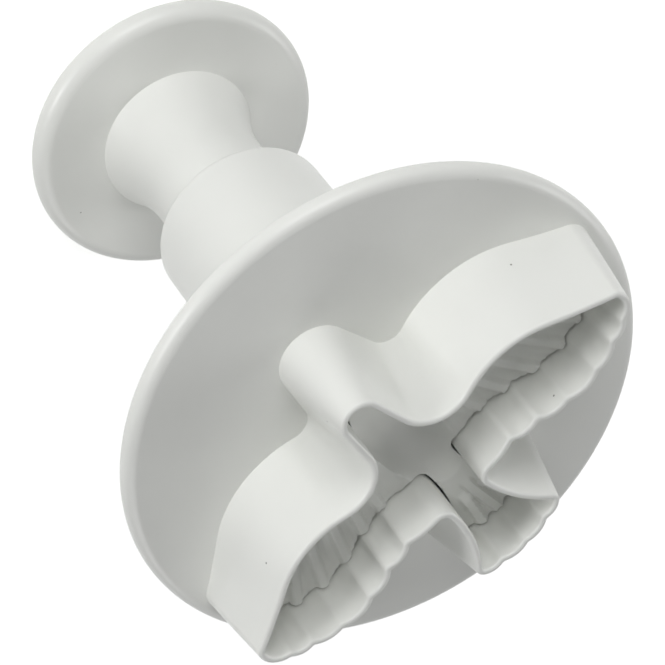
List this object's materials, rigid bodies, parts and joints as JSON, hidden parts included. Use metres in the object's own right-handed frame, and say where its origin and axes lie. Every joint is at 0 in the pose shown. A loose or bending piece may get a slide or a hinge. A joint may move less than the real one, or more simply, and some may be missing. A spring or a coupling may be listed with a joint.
{
  "type": "plunger cutter",
  "caption": "Spring-loaded plunger cutter: a bird-shaped cutting wall on a round flange, with a ribbed embossing plate that slides out when the flared knob is pressed.",
  "frame": {"origin": "centre of the knob's flat rear face, on the plunger's axis", "axes": "+Z along the plunger from the knob to the cutting edge, -Y towards the bird's head, X across the wings"},
  "size_m": [0.068, 0.068, 0.0808],
  "materials": {
    "cutter_body": "satin",
    "barrel": "satin",
    "embosser_plate": "satin",
    "plunger_stem": "satin",
    "return_spring": "drawn wire",
    "knob": "satin",
    "knob_cap": "satin",
    "knob_screw": "zinc plated"
  },
  "bodies": {
    "plunger": {"knob": "knob", "knob_cap": "knob_cap", "knob_screw": "knob_screw", "plunger_stem": "plunger_stem", "embosser_plate": "embosser_plate", "return_spring": "return_spring"},
    "cutter": {"cutter_body": "cutter_body", "barrel": "barrel"}
  },
  "joints": [
    {"name": "plunge", "type": "slide", "parent": "plunger", "child": "cutter", "axis": [0, 0, -1], "range_m": [0, 0.0095], "stiffness_N_per_m": 400, "springref_m": -0.005, "deforming": ["return_spring"]}
  ]
}
